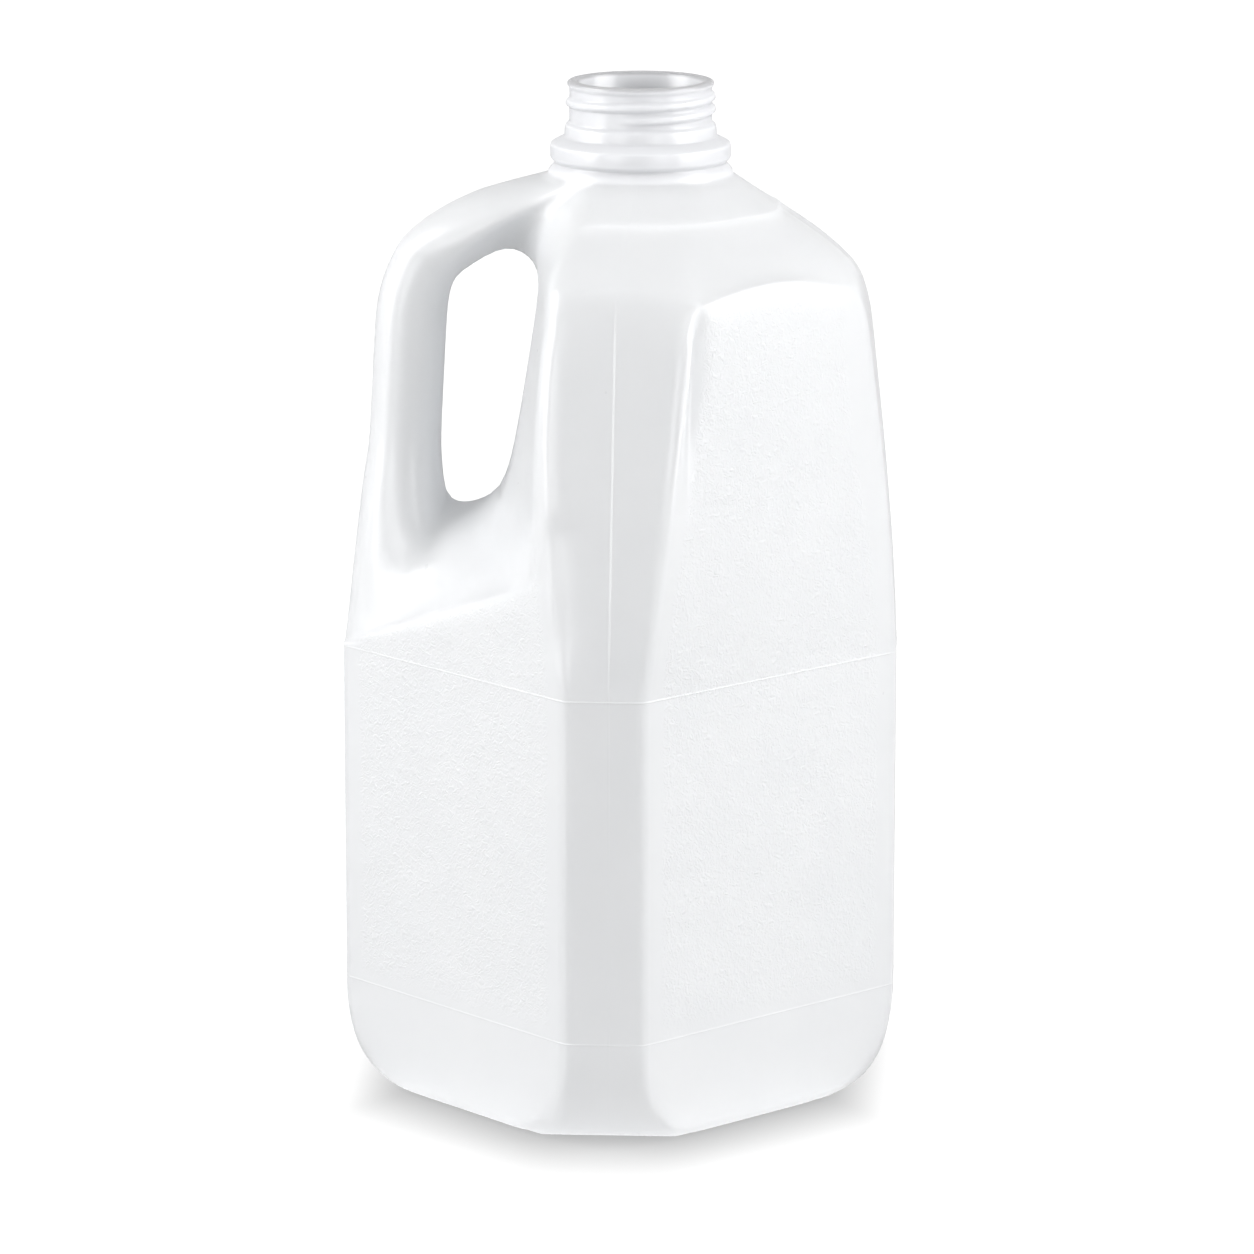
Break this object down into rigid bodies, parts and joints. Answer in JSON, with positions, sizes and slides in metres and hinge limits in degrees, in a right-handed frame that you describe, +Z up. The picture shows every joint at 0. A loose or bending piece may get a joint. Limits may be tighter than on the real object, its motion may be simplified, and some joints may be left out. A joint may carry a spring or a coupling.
{
  "type": "jug",
  "caption": "Empty half gallon plastic cider jug with cut corners, a hollow side handle over a grip pocket and an open screw neck.",
  "frame": {"origin": "centre of the base at the surface the jug stands on", "axes": "+Z up; the handle is on the -X corner, and the XZ plane is the mould's parting plane"},
  "size_m": [0.1317, 0.1316, 0.243],
  "materials": {
    "natural_plastic": "satin, milky, lets light through"
  },
  "bodies": {
    "root": {"jug": "natural_plastic"}
  },
  "joints": []
}
